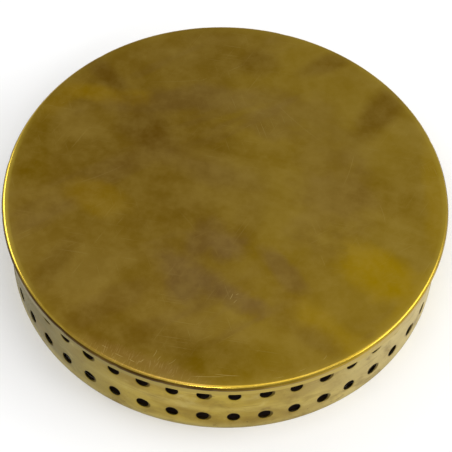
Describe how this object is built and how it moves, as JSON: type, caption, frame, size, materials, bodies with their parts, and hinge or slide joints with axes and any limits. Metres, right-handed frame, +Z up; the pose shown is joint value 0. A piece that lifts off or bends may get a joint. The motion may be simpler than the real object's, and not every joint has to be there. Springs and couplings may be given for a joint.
{
  "type": "hand drum",
  "caption": "Shallow round hand drum: flat sheet-brass head with a rolled rim, set on a perforated brass band, open underneath.",
  "frame": {"origin": "on the drum's axis, at the level of the band's lower edge, which it stands on", "axes": "+Z up along the drum's axis, towards the head; -Y is the front, and the joint of the band is at the back, +Y"},
  "size_m": [0.25, 0.25, 0.0476],
  "materials": {
    "head_brass": "worn satin with patina and fine scratches",
    "band_brass": "dull satin sheet",
    "hoop_brass": "dull, unpolished",
    "rivet_brass": "satin, hammered",
    "wire_steel": "drawn wire",
    "solder": "dull grey soft solder"
  },
  "bodies": {
    "root": {"head_plate": "head_brass", "bead_wire": "wire_steel", "perforated_band": "band_brass", "bearing_hoop": "hoop_brass", "base_hoop": "hoop_brass", "head_solder": "solder", "bearing_solder": "solder", "base_solder": "solder", "seam_strap": "hoop_brass", "seam_rivets": "rivet_brass"}
  },
  "joints": []
}
